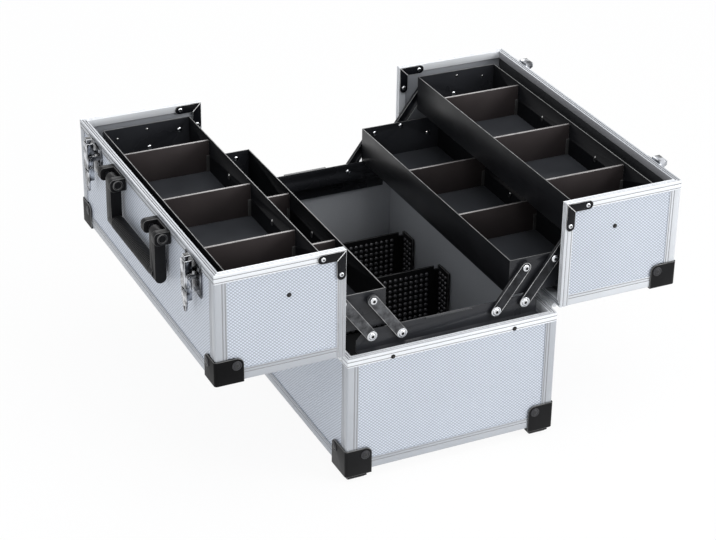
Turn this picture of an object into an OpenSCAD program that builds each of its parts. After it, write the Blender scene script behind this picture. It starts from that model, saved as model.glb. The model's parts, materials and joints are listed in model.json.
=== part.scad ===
// Tool case with two fold-out lids and four trays on cantilever arms.
// Millimetres. X runs across the case, Y along it, Z up; the case stands open on its four feet.
// A lid and its trays are drawn on the right and mirrored to the left.
// A point of the section is [u, z]: u out from the middle plane, z up from the top of the base rim.

/* [Case] */
// Length of the case over its end walls
case_l = 450; // [440:1:500]
// Width of the base over its side walls
base_w = 276.4; // [272:0.4:284]
// Height of the base, bottom edge to rim top
base_h = 155; // [130:1:190]
// Depth of a lid, from its seam with the base to its outer wall
lid_d = 158.5; // [154:0.5:175]
// Gap between lid and base, and from each lid to the middle, when shut
shut_gap = 0.4; // [0.3:0.1:0.8]

/* [Walls] */
// Thickness of the aluminium profiles
profile_t = 1; // [0.8:0.1:1.4]
// Thickness of a wall panel
panel_t = 4; // [3:0.5:4.5]
// Thickness of the lining
lining_t = 1; // [0.6:0.1:1.5]
// Width of the rim channel over the top of a wall
rim_w = 8.2; // [8:0.1:9]
// Height of the rim channel on the outside of a wall
rim_band = 11; // [9:0.5:14]
// Height of the rim channel on the inside of a wall
rim_inside = 9.5; // [6:0.5:10]
// Thickness of the rim channel's crown
rim_crown = 2; // [1.5:0.1:3]
// Depth of the grooves in the profiles
groove_d = 0.4; // [0.2:0.1:0.5]
// Width of the grooves in the profiles
groove_w = 1.2; // [0.8:0.1:2]
// Width of each leg of an edge profile
edge_w = 15; // [12:0.5:20]
// Radius on the outer corner of an edge profile
edge_r = 2; // [1:0.5:2.5]
// Seam between neighbouring profiles, panels and linings
seam = 0.15; // [0.1:0.05:0.3]

/* [Corner caps] */
// Thickness of a cap's shell outside the profiles
cap_t = 1.6; // [1.2:0.1:2.5]
// Width of a base cap on the end wall
base_cap_w = 33; // [26:0.5:40]
// Length of a base cap along the side wall
base_cap_l = 38; // [30:0.5:46]
// Height of a base cap above the bottom edge
base_cap_h = 31; // [24:0.5:40]
// Thickness of a base cap under the bottom edge
cap_floor_t = 5; // [3:0.5:8]
// Width of a foot, across the case
foot_w = 26; // [18:0.5:30]
// Length of a foot, along the case
foot_l = 24; // [18:0.5:32]
// Depth of a foot under its cap
foot_h = 7.5; // [4:0.5:12]
// Distance of a foot from the outer faces of the base
foot_inset = 2.6; // [1:0.1:5]
// Chamfer around the bottom of a foot
foot_chamfer = 2; // [1:0.5:3]
// Width of a lid cap on the end wall
lid_cap_w = 34; // [28:0.5:40]
// Height of a lid cap
lid_cap_h = 30; // [24:0.5:40]
// Length of a lid cap along the outer wall
lid_cap_l = 30; // [24:0.5:40]
// Radius on the corners of the caps
cap_r = 9; // [4:0.5:12]
// Radius of the rivet in a cap
cap_rivet_r = 4.6; // [3:0.1:5.5]

/* [Hinges] */
// Thickness of a hinge leaf
leaf_t = 1.1; // [0.8:0.1:1.5]
// Width of a hinge leaf
leaf_w = 11; // [9:0.5:14]
// Radius of a hinge knuckle
knuckle_r = 2.9; // [2.5:0.1:3.3]
// Radius of the hinge pin
hinge_pin_r = 1.5; // [1:0.1:1.7]
// Number of knuckles, an odd number
knuckles = 17; // [9:2:21]
// Height of the hinge pin above the base rim
hinge_z = 2; // [1.5:0.1:2.4]

/* [Trays] */
// Room between the end of a tray and the outside of the end wall
end_room = 21; // [20.5:0.1:25]
// Width of a tray
tray_w = 115; // [105:1:116]
// Depth of a tray
tray_h = 47; // [36:1:48]
// Thickness of the tray sheet
tray_t = 1.2; // [0.8:0.1:1.5]
// Thickness of a tray divider
divider_t = 3; // [1:0.1:4]
// Drop of a divider's top below the tray's edge
divider_drop = 3.5; // [2:0.5:8]
// Height of a divider clip
clip_h = 22; // [14:1:30]
// Width of a divider clip
clip_w = 4; // [3:0.5:6]
// Thickness of a divider clip
clip_t = 0.8; // [0.6:0.1:1.2]
// Places of the upper tray's dividers, from the middle
upper_dividers_y = [-132, 0, 135]; // [-190:1:190]
// Places of the lower tray's dividers, from the middle
lower_dividers_y = [-66, 71]; // [-190:1:190]
// Inner arm's hole in the lower tray, from its inner edge and its top
lower_hole = [18.5, 10]; // [8:0.5:40]
// Outer arm's hole in the lower tray, from its inner edge and its top
outer_hole = [98, 22.7]; // [10:0.1:104]
// Long arm's hole in the upper tray, from its inner edge and its top
upper_hole = [13.5, 16]; // [8:0.5:40]

/* [Arms] */
// Distance between two pivots of an arm
arm_l = 62.9; // [61:0.1:64]
// Lean of the arms from upright with the lid open
arm_lean = 36.6; // [35:0.1:38]
// Width of an arm
arm_w = 13.5; // [12:0.5:15]
// Thickness of an arm's web
arm_t = 1.5; // [1.2:0.1:2]
// Height of an arm with its folded edges
arm_edge = 4; // [2.8:0.1:4.2]
// Inner arm's pivot on the arm plate, in from the side wall and up from the rim
inner_hole = [76.2, 11.5]; // [8:0.1:90]
// Long arm's pivot on the arm plate, in from the side wall and up from the rim
long_hole = [37.7, 16]; // [8:0.1:90]
// Lid link's rivet, out from the lid's seam side and down from its split edge
lid_hole = [69.1, 42.6]; // [20:0.1:100]
// Width of a lid link
link_w = 9; // [8.5:0.5:10]
// Thickness of a lid link
link_t = 1.2; // [1:0.1:1.6]
// Radius of a pivot rivet's shank
pivot_r = 2.5; // [2:0.1:2.8]
// Radius of a pivot rivet's outer head
pivot_head_r = 5; // [4:0.1:5.2]
// Height of a pivot rivet's outer head
pivot_head_h = 1.8; // [1.2:0.1:2]
// Radius of a pivot's collar and of its inner head
collar_r = 4; // [3.4:0.1:4.2]
// Height of a pivot rivet's inner head
inner_head_h = 1.1; // [0.8:0.1:1.5]
// Thickness of the arm plates
plate_t = 1.2; // [1:0.1:1.5]
// Distance from an arm plate's end to the outside of the side wall
plate_room = 19.2; // [14:0.1:24]
// Top of an arm plate above the rim
plate_top = 23; // [22.5:0.5:26]
// Depth of an arm plate's flange inside the base
plate_flange = 23; // [15:0.5:30]
// Reach of the stiffening lip to each side of the middle
lip_reach = 30; // [20:1:34]
// Width of the stiffening lip
lip_w = 3; // [2:0.5:4]

/* [Lid brackets] */
// Length of a bracket along the rim
bracket_u = 35; // [26:0.5:44]
// Length of a bracket down the seam
bracket_z = 36; // [26:0.5:44]
// Width of a bracket's legs
bracket_leg = 11.5; // [9:0.5:14]
// Thickness of a bracket
bracket_t = 1.2; // [0.8:0.1:1.5]
// Distance of a bracket from the rim's edges
bracket_edge = 0.6; // [0.4:0.1:1.5]
// Radius of the small rivets
rivet_r = 2.8; // [2:0.1:3.2]
// Height of the small rivets' heads
rivet_h = 1.3; // [0.8:0.1:1.8]
// Distance of the end wall's rim rivets from the middle
rim_rivet_x = 80; // [60:1:100]

/* [Base dividers] */
// Places of the studded dividers, from the middle
studded_y = [61, 166]; // [-180:1:200]
// Height of the studded dividers above the lining
studded_h = 76; // [50:1:100]
// Thickness of the studded dividers
studded_t = 2.4; // [1.8:0.1:3.5]
// Length of their bent ends
studded_flange = 27; // [15:1:40]
// Room between the dividers and the side walls
studded_room = 2; // [1:0.5:6]
// Width of the notch at the bend
notch_w = 7; // [4:0.5:10]
// Depth of the notch at the bend
notch_d = 5; // [3:0.5:8]

/* [Handle] */
// Distance between the handle's arms
handle_span = 150; // [120:1:170]
// Middle of the handle's mounts, towards the rear
handle_y = 3; // [0:0.5:6]
// Slide of the handle on its pins from the middle of its mounts, towards the front
handle_slide = 5; // [0:0.5:8]
// Width of a handle arm
handle_arm_w = 16; // [13:0.5:18]
// Thickness of a handle arm
handle_arm_t = 14; // [11:0.5:14.5]
// Length of the handle from its pins to its lowest point
handle_drop = 61.5; // [52:0.5:68]
// Thickness of the grip
grip_d = 17; // [14:0.5:17.5]
// Height of the grip above the handle's lowest point
grip_lift = 1.5; // [0:0.5:4]
// Distance of the handle's pins below the lid's split edge
handle_below = 14.5; // [13.5:0.5:22]
// Height of a handle mount
mount_h = 16; // [15:0.5:20]
// Reach of a handle mount from the wall
mount_out = 20; // [19:0.5:22]
// Thickness of a handle mount's back
mount_back = 2.5; // [2:0.1:2.6]
// Thickness of a handle mount's cheeks
mount_cheek = 9; // [6:0.5:10]
// Radius of the ring around a pin's end
mount_ring_r = 6.5; // [5:0.1:7]
// Height of the ring around a pin's end
mount_ring_h = 0.8; // [0.5:0.1:1.2]
// Radius of the handle's pins
handle_pin_r = 3; // [2:0.1:3.4]

/* [Latches] */
// Place of the latches, from the middle
latch_y = 166; // [150:1:172]
// Width of a latch plate
latch_w = 46; // [36:0.5:50]
// Height of a latch plate
latch_plate_h = 40.5; // [36:0.5:46]
// Distance of the plate's top below the lid's split edge
latch_below = 5; // [4:0.5:8]
// Thickness of the latch's sheet
latch_t = 1.2; // [1:0.1:1.4]
// Distance of a plate rivet from the plate's edges
latch_rivet_in = 6.5; // [4:0.5:9]
// Radius of the latch rivets
latch_rivet_r = 2.4; // [1.8:0.1:2.8]
// Distance of the lever's pin below the lid's split edge
lever_below = 24; // [22:0.5:26]
// Distance of the lever's pin from the wall
lever_out = 9; // [8:0.1:10]
// Width of the lever over its cheeks
lever_w = 16; // [14:0.5:18]
// Half depth of the lever's cheeks
lever_half_d = 3.3; // [3:0.1:3.6]
// Height of the cross face that joins the lever's cheeks
lever_face_h = 10; // [6:0.5:12]
// Width of the lever's tongue at its root
tongue_w = 13; // [10:0.5:14]
// Width of the lever's tongue at its tip
tongue_tip_w = 9; // [6:0.5:10]
// Thickness of the lever's tongue
tongue_t = 2; // [1.2:0.1:2.4]
// Length of the lever below its pin
lever_drop = 46; // [42:0.5:56]
// Distance from the lever's pin to the hook's pin
hook_offset = 12; // [11:0.5:14]
// Distance of the hook's top below the lid's split edge
hook_below = 4.7; // [4:0.1:6]
// Depth of the hook's sides above the lever's pin
hook_side_d = 9; // [6:0.5:9]
// Room between the hook's face and the lever's pin
hook_room = 1.8; // [1.5:0.1:2]
// Width of the claw inside the hook
claw_w = 8; // [6:0.5:9]
// Reach of the claw's turned-in end
claw_reach = 6; // [4:0.5:7]
// Radius of the latch's pins
latch_pin_r = 1.5; // [1.2:0.1:1.6]
// Width of a catch's plate
catch_plate_w = 38; // [30:0.5:44]
// Height of a catch's plate
catch_plate_h = 14; // [11:0.5:20]
// Width of the catch's hood
catch_w = 18; // [14:0.5:22]
// Reach of the catch's lip past the lid's split edge
catch_over = 2.8; // [2.2:0.1:3]
// Depth of the hood's sides along the wall
catch_side = 9; // [6:0.5:12]

/* [Clearances] */
// Gap between faces that move past each other
run_gap = 0.3; // [0.2:0.05:0.4]
// Radial gap of a pin in its hole
pin_gap = 0.05; // [0.02:0.01:0.1]

/* [Hidden] */
$fn = 48;
half_w = base_w / 2;
half_l = case_l / 2;
wall_t = profile_t + panel_t + lining_t;
stand_h = base_h + cap_floor_t + foot_h;
hinge_out = leaf_t + run_gap + knuckle_r;
hinge_u = half_w + hinge_out;
lid_bottom = hinge_z + hinge_out;
lid_in = hinge_u - hinge_z + shut_gap;
lid_out = lid_in + lid_d;
lid_top = hinge_u + hinge_z - shut_gap;
lid_h = lid_top - lid_bottom;
hinge_l = case_l - 2 * edge_w;
knuckle_pitch = hinge_l / knuckles;
knuckle_l = knuckle_pitch - run_gap;
tray_end = half_l - end_room;
plate_in = tray_end + plate_t + pin_gap * 2;
plate_out = plate_in + plate_t;
arm_in = plate_out + run_gap;
arm_out = arm_in + arm_edge;
arm_web = arm_out - arm_t;
link_in = arm_out + pivot_head_h + 2 * run_gap;
link_out = link_in + link_t;
arm_step = arm_l * [sin(arm_lean), cos(arm_lean)];
inner_pivot = [half_w - inner_hole[0], inner_hole[1]];
long_pivot = [half_w - long_hole[0], long_hole[1]];
lower_inner_pivot = inner_pivot + arm_step;
lower_long_pivot = long_pivot + arm_step;
upper_long_pivot = long_pivot + 2 * arm_step;
lower_u = lower_inner_pivot[0] - lower_hole[0];
lower_z = lower_inner_pivot[1] + lower_hole[1];
upper_u = upper_long_pivot[0] - upper_hole[0];
upper_z = upper_long_pivot[1] + upper_hole[1];
outer_pivot = [lower_u + outer_hole[0], lower_z - outer_hole[1]];
upper_outer_pivot = outer_pivot + arm_step;
lid_pivot = [lid_in + lid_hole[0], lid_top - lid_hole[1]];
handle_z = lid_top - handle_below;
handle_out = mount_out / 2;
handle_slot = handle_arm_w / 2 + handle_slide + run_gap;
lever_z = lid_top - lever_below;
hook_z = lever_z - hook_offset;
hook_face = latch_pin_r + hook_room;
catch_out = lever_out + hook_face - latch_t - run_gap;
left_reach = lid_out + mount_out;
right_reach = lid_out + max(catch_out, cap_t + rivet_h);
origin_x = (left_reach - right_reach) / 2;

// Puts a piece, drawn about the middle of the base rim, on the surface that the case stands on.
module standing() {
  translate([origin_x, 0, stand_h]) children();
}

module left_side() {
  standing() mirror([1, 0, 0]) children();
}

module right_side() {
  standing() children();
}

// A copy at the front end and its mirror image at the rear end.
module both_ends() {
  children();
  mirror([0, 1, 0]) children();
}

module both_sides() {
  children();
  mirror([1, 0, 0]) children();
}

// A box from one corner to the opposite one.
module block(low, high) {
  translate(low) cube(high - low);
}

// A rectangle whose far corner is round.
module round_corner(size, r) {
  square([size[0] - r, size[1]]);
  square([size[0], size[1] - r]);
  translate([size[0] - r, size[1] - r]) circle(r);
}

// A flat bar with round ends, from one point to another.
module round_bar(a, b, w) {
  d = b - a;
  translate(a) rotate(atan2(d[1], d[0])) {
    circle(w / 2);
    translate([norm(d), 0]) circle(w / 2);
    translate([0, -w / 2]) square([norm(d), w]);
  }
}

// Stands an outline of [u, z] points up at y, as thick as t, towards the rear.
module upright(y, t) {
  translate([0, y + t, 0]) rotate([90, 0, 0]) linear_extrude(t) children();
}

// A rivet head that stands on the plane z = 0: a short edge and two slopes up to a flat top.
module rivet_head(r, h) {
  rotate_extrude() polygon([[0, 0], [r, 0], [r, 0.3 * h], [0.8 * r, 0.75 * h], [0.45 * r, h], [0, h]]);
}

// Faces its children from the origin towards the front.
module face_front(y) {
  translate([0, y, 0]) rotate([90, 0, 0]) children();
}

// The rim channel: x inward from the outside of the wall, y down from the crown as a negative.
module rim_section() {
  difference() {
    translate([0, -rim_band]) square([rim_w, rim_band]);
    translate([profile_t, -rim_band - 1]) square([rim_w, rim_band - rim_crown + 1]);
    for (y = [rim_crown + groove_w, rim_band - 2 * groove_w])
      translate([-1, -y - groove_w]) square([1 + groove_d, groove_w]);
    for (x = [rim_w / 3, 2 * rim_w / 3])
      translate([x - groove_w / 2, -groove_d]) square([groove_w, groove_d + 1]);
  }
  translate([rim_w - profile_t, -rim_inside]) square([profile_t, rim_inside]);
}

// What a 45 degree cut takes off the start of a bar, across the wall ("t") or down it ("h").
module mitre(kind) {
  far = rim_band + rim_w + 1;
  waste = [[seam / 2 - 1, -1], [-1, -1], [-1, far], [seam / 2 + far, far]];
  if (kind == "t") translate([0, 0, -far]) linear_extrude(2 * far) polygon(waste);
  if (kind == "h") translate([0, far, 0]) rotate([90, 0, 0]) linear_extrude(2 * far)
    mirror([0, 1]) polygon(waste);
}

// A length of rim channel along x: its outside at y = 0, its crown at z = 0.
module rim_bar(l, start, end) {
  difference() {
    rotate([90, 0, 90]) linear_extrude(l) rim_section();
    mitre(start);
    translate([l, 0, 0]) mirror([1, 0, 0]) mitre(end);
  }
}

// An edge profile along x: its outer corner on the x axis, its legs towards y and z.
module edge_bar(l) {
  rotate([90, 0, 90]) linear_extrude(l) difference() {
    mirror([1, 0]) mirror([0, 1]) translate([-edge_w, -edge_w])
      round_corner([edge_w, edge_w], edge_r);
    translate([profile_t, profile_t]) square(edge_w);
    for (d = [edge_w - 2 * groove_w, edge_w - 5 * groove_w]) {
      translate([d, -1]) square([groove_w, 1 + groove_d]);
      translate([-1, d]) square([1 + groove_d, groove_w]);
    }
  }
}

// The same profile along z, with its legs towards x and y.
module edge_post(l) {
  rotate([0, 0, -90]) rotate([0, -90, 0]) edge_bar(l);
}

module base_end_panels() {
  color([0.82, 0.85, 0.89]) both_ends()
    block([-half_w + profile_t, -half_l + profile_t, profile_t - base_h],
          [half_w - profile_t, -half_l + profile_t + panel_t, -rim_crown]);
}

module base_side_panels() {
  y = half_l - profile_t - panel_t;
  color([0.82, 0.85, 0.89]) both_sides()
    block([half_w - profile_t - panel_t, -y, profile_t - base_h], [half_w - profile_t, y, -rim_crown]);
}

module base_floor() {
  x = half_w - profile_t - panel_t;
  y = half_l - profile_t - panel_t;
  color([0.8, 0.82, 0.85]) block([-x, -y, profile_t - base_h], [x, y, profile_t + panel_t - base_h]);
}

module base_rim() {
  color([0.9, 0.91, 0.93]) {
    both_ends() translate([-half_w, -half_l, 0]) rim_bar(base_w, "t", "t");
    both_sides() translate([half_w, -half_l, 0]) rotate([0, 0, 90]) rim_bar(case_l, "t", "t");
  }
}

module base_corner_profiles() {
  z0 = edge_w + seam - base_h;
  color([0.88, 0.9, 0.92]) both_sides() both_ends()
    translate([-half_w, -half_l, z0]) edge_post(-rim_band - seam - z0);
}

module base_bottom_profiles() {
  color([0.88, 0.9, 0.92]) {
    both_ends() translate([edge_w + seam - half_w, -half_l, -base_h])
      edge_bar(base_w - 2 * edge_w - 2 * seam);
    both_sides() translate([half_w, -half_l, -base_h]) rotate([0, 0, 90]) edge_bar(case_l);
  }
}

// A shell over three faces of a corner at the origin, which lies towards -x, +y and +z from it.
module corner_cap(w, l, h, under) {
  difference() {
    intersection() {
      translate([cap_t, l, 0]) rotate([90, 0, 0]) linear_extrude(l + cap_t)
        translate([-w - cap_t, -under]) mirror([1, 0]) translate([-w - cap_t, 0])
          round_corner([w + cap_t, h + under], cap_r);
      translate([-w, 0, 0]) rotate([90, 0, 90]) linear_extrude(w + cap_t)
        translate([-cap_t, -under]) round_corner([l + cap_t, h + under], cap_r);
      translate([0, 0, -under]) linear_extrude(h + under) translate([-w, l]) mirror([0, 1])
        round_corner([w + cap_t, l + cap_t], edge_r + cap_t);
    }
    translate([-w - 1, 0, 0]) cube([w + 1, l + 1, h + 1]);
  }
}

module base_corner_caps() {
  color([0.07, 0.07, 0.08]) both_sides() both_ends() translate([half_w, -half_l, -base_h]) {
    corner_cap(base_cap_w, base_cap_l, base_cap_h, cap_floor_t);
    translate([-foot_inset - foot_w, foot_inset, -cap_floor_t - foot_h]) {
      translate([foot_chamfer, foot_chamfer, 0])
        cube([foot_w - 2 * foot_chamfer, foot_l - 2 * foot_chamfer, foot_h]);
      translate([0, 0, foot_chamfer]) cube([foot_w, foot_l, foot_h - foot_chamfer]);
    }
  }
}

module base_rivets() {
  color([0.12, 0.12, 0.13]) both_sides() both_ends() translate([half_w, -half_l, -base_h]) {
    translate([cap_r - base_cap_w, 0, base_cap_h - cap_r]) face_front(-cap_t)
      rivet_head(cap_rivet_r, rivet_h);
    translate([cap_t, base_cap_l - cap_r, base_cap_h - cap_r]) rotate([0, 90, 0])
      rivet_head(cap_rivet_r, rivet_h);
  }
  color([0.3, 0.3, 0.32]) both_sides() both_ends()
    translate([rim_rivet_x, 0, rivet_r - rim_band]) face_front(-half_l) rivet_head(rivet_r, rivet_h);
}

module base_lining() {
  x = half_w - wall_t;
  y = half_l - wall_t;
  z = profile_t + panel_t - base_h;
  color([0.3, 0.31, 0.33]) {
    block([seam - x - lining_t, seam - y - lining_t, z],
          [x + lining_t - seam, y + lining_t - seam, z + lining_t]);
    both_ends() block([-x - lining_t + seam, -y - lining_t, z + lining_t + seam],
                      [x + lining_t - seam, -y, -rim_crown - seam]);
    both_sides() block([x, seam - y, z + lining_t + seam], [x + lining_t, y - seam, -rim_crown - seam]);
  }
}

// The front plate's outline above the rim: its outer corners slope down to its ends.
module plate_outline() {
  w = half_w - plate_room;
  slope = w - long_pivot[0] - pivot_head_r - pivot_r;
  difference() {
    polygon([[-w, -rim_crown], [w, -rim_crown], [w, plate_top - slope], [w - slope, plate_top],
             [slope - w, plate_top], [-w, plate_top - slope]]);
    for (s = [-1, 1], p = [inner_pivot, long_pivot]) translate([s * p[0], p[1]]) circle(pivot_r + pin_gap);
  }
}

module arm_plates() {
  w = half_w - plate_room;
  flange_out = half_l - rim_w;
  color([0.08, 0.08, 0.09]) both_ends() {
    upright(-plate_out, plate_t) plate_outline();
    block([-w, -flange_out, -rim_crown - plate_t], [w, -plate_in, -rim_crown]);
    block([-w, -flange_out, -plate_flange], [w, plate_t - flange_out, -rim_crown]);
    block([-lip_reach, -plate_out - lip_w, plate_top - plate_t], [lip_reach, -plate_in, plate_top]);
  }
}

// A divider across the base with its right-hand end bent towards the front.
module studded_divider(y) {
  x = half_w - wall_t - studded_room;
  z = profile_t + panel_t + lining_t - base_h;
  difference() {
    union() {
      block([-x, y, z], [x, y + studded_t, z + studded_h]);
      block([x - studded_t, y - studded_flange, z], [x, y + studded_t, z + studded_h]);
    }
    block([x - studded_t - notch_w, y - 1, z + studded_h - notch_d],
          [x - studded_t - 1, y + studded_t + 1, z + studded_h + 1]);
  }
}

module studded_dividers() {
  color([0.09, 0.09, 0.1]) for (y = studded_y) studded_divider(y);
}

// A pivot rivet at a point of the section, at the front end: the inner head lies against the face
// at y = wall, the shank runs out to the outer head, whose underside is at y = under.
module pivot(p, wall, under) {
  translate([p[0], 0, p[1]]) {
    mirror([0, 1, 0]) face_front(wall) rivet_head(collar_r, inner_head_h);
    face_front(-wall) cylinder(r = pivot_r, h = under - wall);
    face_front(-under) rivet_head(pivot_head_r, pivot_head_h);
  }
}

// The collar that holds an arm's web off the sheet behind it.
module collar(p, from, to) {
  translate([p[0], 0, p[1]]) face_front(-from) cylinder(r = collar_r, h = to - from);
}

module base_pivots() {
  color([0.85, 0.86, 0.88]) both_sides() both_ends() for (p = [inner_pivot, long_pivot]) {
    pivot(p, plate_in, arm_out + run_gap);
    collar(p, plate_out, arm_web - run_gap);
  }
}

// Knuckles along the hinge, every second one, with the web that ties each to its leaf.
module hinge_knuckles(first) {
  for (i = [first : 2 : knuckles - 1])
    translate([hinge_u, -hinge_l / 2 + i * knuckle_pitch + run_gap / 2, hinge_z])
      rotate([-90, 0, 0]) linear_extrude(knuckle_l) difference() {
        union() {
          circle(knuckle_r);
          mirror([0, 1]) children();
        }
        circle(hinge_pin_r + pin_gap);
      }
}

module base_hinge_leaves() {
  color([0.7, 0.71, 0.73]) both_sides() {
    hinge_knuckles(0) translate([-hinge_out, -knuckle_r / 2]) square([hinge_out, knuckle_r / 2]);
    block([half_w, -hinge_l / 2, hinge_z - run_gap / 2 - leaf_w],
          [half_w + leaf_t, hinge_l / 2, hinge_z - run_gap / 2]);
  }
}

module hinge_pins() {
  color([0.75, 0.76, 0.78]) both_sides() translate([hinge_u, -hinge_l / 2, hinge_z])
    rotate([-90, 0, 0]) cylinder(r = hinge_pin_r, h = hinge_l);
}

module lid_hinge_leaf() {
  color([0.7, 0.71, 0.73]) {
    hinge_knuckles(1) square([knuckle_r / 2, hinge_out]);
    block([hinge_u + run_gap / 2, -hinge_l / 2, lid_bottom - leaf_t],
          [hinge_u + run_gap / 2 + leaf_w, hinge_l / 2, lid_bottom]);
  }
}

module lid_panels() {
  y = half_l - profile_t - panel_t;
  low = lid_bottom + profile_t;
  high = lid_top - rim_crown;
  near = lid_in + rim_crown;
  far = lid_out - profile_t;
  color([0.82, 0.85, 0.89]) {
    both_ends() block([near, -y - panel_t, low], [far, -y, high]);
    block([far - panel_t, seam - y, low], [far, y - seam, high]);
    block([near, seam - y, low], [far - panel_t - seam, y - seam, low + panel_t]);
  }
}

module lid_rim() {
  color([0.9, 0.91, 0.93]) {
    translate([lid_out, -half_l, lid_top]) rotate([0, 0, 90]) rim_bar(case_l, "t", "t");
    translate([lid_in, half_l, lid_bottom]) rotate([90, 0, 0]) rotate([0, -90, 0])
      rim_bar(case_l, "t", "t");
    both_ends() {
      translate([lid_in, -half_l, lid_top]) rim_bar(lid_d, "h", "t");
      translate([lid_in, -half_l, lid_bottom]) rotate([0, -90, 0]) rim_bar(lid_h, "t", "h");
    }
  }
}

module lid_profiles() {
  color([0.88, 0.9, 0.92]) {
    translate([lid_out, -half_l, lid_bottom]) rotate([0, 0, 90]) edge_bar(case_l);
    both_ends() {
      translate([lid_in + rim_band + seam, -half_l, lid_bottom])
        edge_bar(lid_d - rim_band - edge_w - 2 * seam);
      translate([lid_out, -half_l, lid_bottom + edge_w + seam]) mirror([1, 0, 0])
        edge_post(lid_h - rim_band - edge_w - 2 * seam);
    }
  }
}

module lid_caps() {
  color([0.07, 0.07, 0.08]) both_ends() translate([lid_out, -half_l, lid_bottom])
    corner_cap(lid_cap_w, lid_cap_l, lid_cap_h, cap_t);
}

// The bracket over the rim's corner at the seam and the split: x outward, y down as a negative.
module bracket_outline() {
  translate([0, -bracket_leg]) square([bracket_u - bracket_leg / 2, bracket_leg]);
  translate([bracket_u - bracket_leg / 2, -bracket_leg / 2]) circle(bracket_leg / 2);
  translate([0, bracket_leg / 2 - bracket_z]) square([bracket_leg, bracket_z - bracket_leg / 2]);
  translate([bracket_leg / 2, bracket_leg / 2 - bracket_z]) circle(bracket_leg / 2);
}

// A bracket on each face of the end wall.
module lid_brackets() {
  color([0.22, 0.23, 0.25]) both_ends() translate([lid_in + bracket_edge, 0, lid_top - bracket_edge])
    for (y = [-half_l - bracket_t, rim_w - half_l]) upright(y, bracket_t) bracket_outline();
}

module lid_rivets() {
  leg = bracket_leg / 2 + bracket_edge;
  color([0.85, 0.86, 0.88]) both_ends() {
    for (p = [[lid_in + bracket_u - leg, lid_top - leg], [lid_in + leg, lid_top - bracket_z + leg]])
      translate([p[0], 0, p[1]]) {
        face_front(-half_l - bracket_t) rivet_head(rivet_r, rivet_h);
        mirror([0, 1, 0]) face_front(half_l - rim_w - bracket_t) rivet_head(rivet_r, rivet_h);
      }
    translate([lid_pivot[0], 0, lid_pivot[1]]) {
      face_front(profile_t - half_l) rivet_head(rivet_r, rivet_h);
      face_front(wall_t - half_l) mirror([0, 0, 1])
        cylinder(r = collar_r, h = half_l - wall_t - link_out - 2 * run_gap);
    }
    translate([lid_out + cap_r - lid_cap_w, 0, lid_bottom + lid_cap_h - cap_r])
      face_front(-half_l - cap_t) rivet_head(cap_rivet_r, rivet_h);
    translate([lid_out + cap_t, lid_cap_l - cap_r - half_l, lid_bottom + lid_cap_h - cap_r])
      rotate([0, 90, 0]) rivet_head(cap_rivet_r, rivet_h);
  }
}

module lid_lining() {
  y = half_l - wall_t;
  low = lid_bottom + profile_t + panel_t;
  high = lid_top - rim_crown - seam;
  near = lid_in + rim_crown + seam;
  far = lid_out - wall_t;
  color([0.3, 0.31, 0.33]) {
    both_ends() block([near, -y - lining_t, low + lining_t + seam], [far, -y, high]);
    block([far, seam - y, low + lining_t + seam], [far + lining_t, y - seam, high]);
    block([near, -y - lining_t + seam, low],
          [far + lining_t - seam, y + lining_t - seam, low + lining_t]);
  }
}

// An open tray of sheet with its holes for the pivots and a pair of clips at each end of a divider.
module tray(u, top, pivots, dividers) {
  low = top - tray_h;
  inside = tray_end - tray_t;
  difference() {
    block([u, -tray_end, low], [u + tray_w, tray_end, top]);
    block([u + tray_t, -inside, low + tray_t], [u + tray_w - tray_t, inside, top + 1]);
    for (p = pivots) translate([p[0], 0, p[1]]) rotate([90, 0, 0])
      cylinder(r = pivot_r + pin_gap, h = case_l, center = true);
  }
  for (y = dividers, s = [-1, 1], x = [u + tray_t, u + tray_w - tray_t - clip_w])
    translate([x, y + s * (divider_t / 2 + pin_gap + clip_t / 2) - clip_t / 2, low + tray_t])
      cube([clip_w, clip_t, clip_h]);
}

module tray_dividers(u, top, dividers) {
  side = tray_t + 2 * pin_gap;
  low = top - tray_h + tray_t;
  color([0.16, 0.13, 0.12]) for (y = dividers)
    block([u + side, y - divider_t / 2, low], [u + tray_w - side, y + divider_t / 2, top - divider_drop]);
}

module upper_dividers() {
  tray_dividers(upper_u, upper_z, upper_dividers_y);
}

module lower_dividers() {
  tray_dividers(lower_u, lower_z, lower_dividers_y);
}

module upper_tray() {
  holes = [upper_long_pivot, upper_outer_pivot];
  color([0.1, 0.1, 0.11]) tray(upper_u, upper_z, holes, upper_dividers_y);
}

module lower_tray() {
  holes = [lower_inner_pivot, lower_long_pivot, outer_pivot];
  color([0.1, 0.1, 0.11]) tray(lower_u, lower_z, holes, lower_dividers_y);
}

module tray_pivot(p, under) {
  pivot(p, tray_end - tray_t, under);
  collar(p, tray_end, arm_web - run_gap);
}

module upper_pivots() {
  color([0.85, 0.86, 0.88]) both_ends() for (p = [upper_long_pivot, upper_outer_pivot])
    tray_pivot(p, arm_out + run_gap);
}

module lower_pivots() {
  color([0.85, 0.86, 0.88]) both_ends() {
    for (p = [lower_inner_pivot, lower_long_pivot]) tray_pivot(p, arm_out + run_gap);
    tray_pivot(outer_pivot, link_out + run_gap);
    collar(outer_pivot, arm_out + run_gap, link_in - run_gap);
  }
}

// An arm through a list of pivots in one line: a web with folded edges towards the tray.
module arm(pivots) {
  a = pivots[0];
  b = pivots[len(pivots) - 1];
  upright(-arm_out, arm_t) difference() {
    round_bar(a, b, arm_w);
    for (p = pivots) translate(p) circle(pivot_r + pin_gap);
  }
  upright(-arm_out, arm_edge) difference() {
    round_bar(a, b, arm_w);
    round_bar(a, b, arm_w - 2 * plate_t);
  }
}

module inner_arms() {
  color([0.12, 0.12, 0.13]) both_ends() arm([inner_pivot, lower_inner_pivot]);
}

module long_arms() {
  color([0.12, 0.12, 0.13]) both_ends() arm([long_pivot, lower_long_pivot, upper_long_pivot]);
}

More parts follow.
